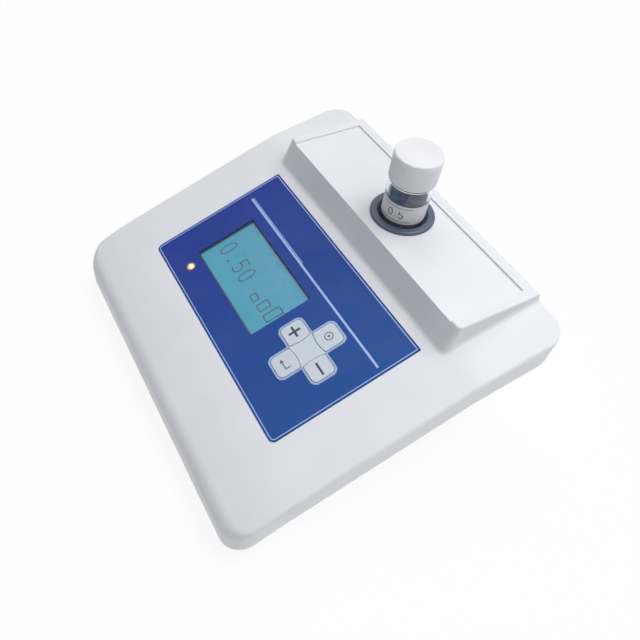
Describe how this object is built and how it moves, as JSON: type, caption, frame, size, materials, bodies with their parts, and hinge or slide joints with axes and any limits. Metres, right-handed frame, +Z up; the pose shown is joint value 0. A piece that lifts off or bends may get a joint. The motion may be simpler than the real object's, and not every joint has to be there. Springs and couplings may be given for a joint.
{
  "type": "benchtop turbidity meter",
  "caption": "Low wedge-shaped bench meter with a sloping membrane panel, display and cross keypad, and a capped glass sample vial standing in an optical well at the rear",
  "frame": {"origin": "on the table, under the middle of the casing", "axes": "X to the user's right, Y towards the rear, Z up"},
  "size_m": [0.224, 0.192, 0.1366],
  "materials": {
    "shell_light": "fine satin moulding",
    "shell_grey": "fine satin moulding",
    "steel_screw": "zinc plated",
    "foot_rubber": "matt",
    "panel_blue": "printed film",
    "clear_window": "clear",
    "frame_steel": "dark plated",
    "lcd_glass": "satin polariser",
    "backlight_white": "white",
    "board_green": "solder resist",
    "lead_grey": "soft",
    "bezel_lavender": "satin",
    "key_grey": "satin",
    "black_plastic": "satin",
    "led_yellow": "clear tinted",
    "rim_orange": "gloss",
    "can_aluminium": "plain",
    "white_plastic": "satin",
    "collar_slate": "satin",
    "lens_glass": "polished",
    "sensor_dark": "gloss",
    "contact_metal": "plated",
    "terminal_brass": "plain",
    "vial_glass": "clear",
    "sample_liquid": "slightly cloudy",
    "label_paper": "paper",
    "cap_white": "satin",
    "liner_foam": "matt"
  },
  "bodies": {
    "housing": {"upper_shell": "shell_light", "lower_shell": "shell_grey", "case_screws": "steel_screw", "rubber_feet": "foot_rubber", "panel_overlay": "panel_blue", "display_window": "clear_window", "display_frame": "frame_steel", "display_glass": "lcd_glass", "display_backlight": "backlight_white", "display_board": "board_green", "display_screws": "steel_screw", "display_ribbon": "lead_grey", "key_bezel": "bezel_lavender", "keypad_board": "board_green", "keypad_switches": "black_plastic", "keypad_screws": "steel_screw", "keypad_ribbon": "lead_grey", "power_led": "led_yellow", "led_rim": "rim_orange", "main_board": "board_green", "main_board_screws": "steel_screw", "board_chips": "black_plastic", "board_capacitors": "can_aluminium", "board_connectors": "white_plastic", "collar_ring": "collar_slate", "cell_block": "black_plastic", "cell_block_screws": "steel_screw", "emitter_lamp": "sensor_dark", "emitter_lens": "lens_glass", "emitter_board": "board_green", "transmission_sensor": "sensor_dark", "transmission_board": "board_green", "scatter_sensor": "sensor_dark", "scatter_board": "board_green", "sensor_leads": "lead_grey", "jack_body": "black_plastic", "jack_nut": "contact_metal", "jack_pin": "contact_metal", "power_lead": "lead_grey", "switch_leads": "lead_grey", "switch_frame": "black_plastic", "switch_terminals": "terminal_brass"},
    "rocker": {"power_rocker": "black_plastic"},
    "vial": {"vial_glass": "vial_glass", "vial_suspension": "sample_liquid", "vial_label": "label_paper"},
    "liner": {"cap_liner": "liner_foam"},
    "cap": {"vial_cap": "cap_white"},
    "key_plus": {"key_plus": "key_grey", "plunger_plus": "white_plastic"},
    "key_minus": {"key_minus": "key_grey", "plunger_minus": "white_plastic"},
    "key_calibrate": {"key_calibrate": "key_grey", "plunger_calibrate": "white_plastic"},
    "key_enter": {"key_enter": "key_grey", "plunger_enter": "white_plastic"}
  },
  "joints": [
    {"name": "rocker_tilt", "type": "hinge", "parent": "housing", "child": "rocker", "pos_m": [-0.052, 0.0892, 0.034], "axis": [1, 0, 0], "range_deg": [-20, 0]},
    {"name": "press_plus", "type": "slide", "parent": "housing", "child": "key_plus", "axis": [0, 0.342, -0.9397], "range_m": [0, 0.0004], "stiffness_N_per_m": 1500},
    {"name": "press_minus", "type": "slide", "parent": "housing", "child": "key_minus", "axis": [0, 0.342, -0.9397], "range_m": [0, 0.0004], "stiffness_N_per_m": 1500},
    {"name": "press_calibrate", "type": "slide", "parent": "housing", "child": "key_calibrate", "axis": [0, 0.342, -0.9397], "range_m": [0, 0.0004], "stiffness_N_per_m": 1500},
    {"name": "press_enter", "type": "slide", "parent": "housing", "child": "key_enter", "axis": [0, 0.342, -0.9397], "range_m": [0, 0.0004], "stiffness_N_per_m": 1500},
    {"name": "vial_lift", "type": "slide", "parent": "housing", "child": "vial", "axis": [0, 0, 1], "range_m": [0, 0.045]},
    {"name": "liner_rise", "type": "slide", "parent": "vial", "child": "liner", "axis": [0, 0, 1], "range_m": [0, 0.005]},
    {"name": "cap_turn", "type": "hinge", "parent": "liner", "child": "cap", "pos_m": [0.0026, 0.0655, 0.12], "axis": [0, 0, 1], "range_deg": [0, 540]}
  ],
  "couplings": [
    {"joint": "liner_rise", "follows": "cap_turn", "m_per_rad": 0.00047746}
  ]
}
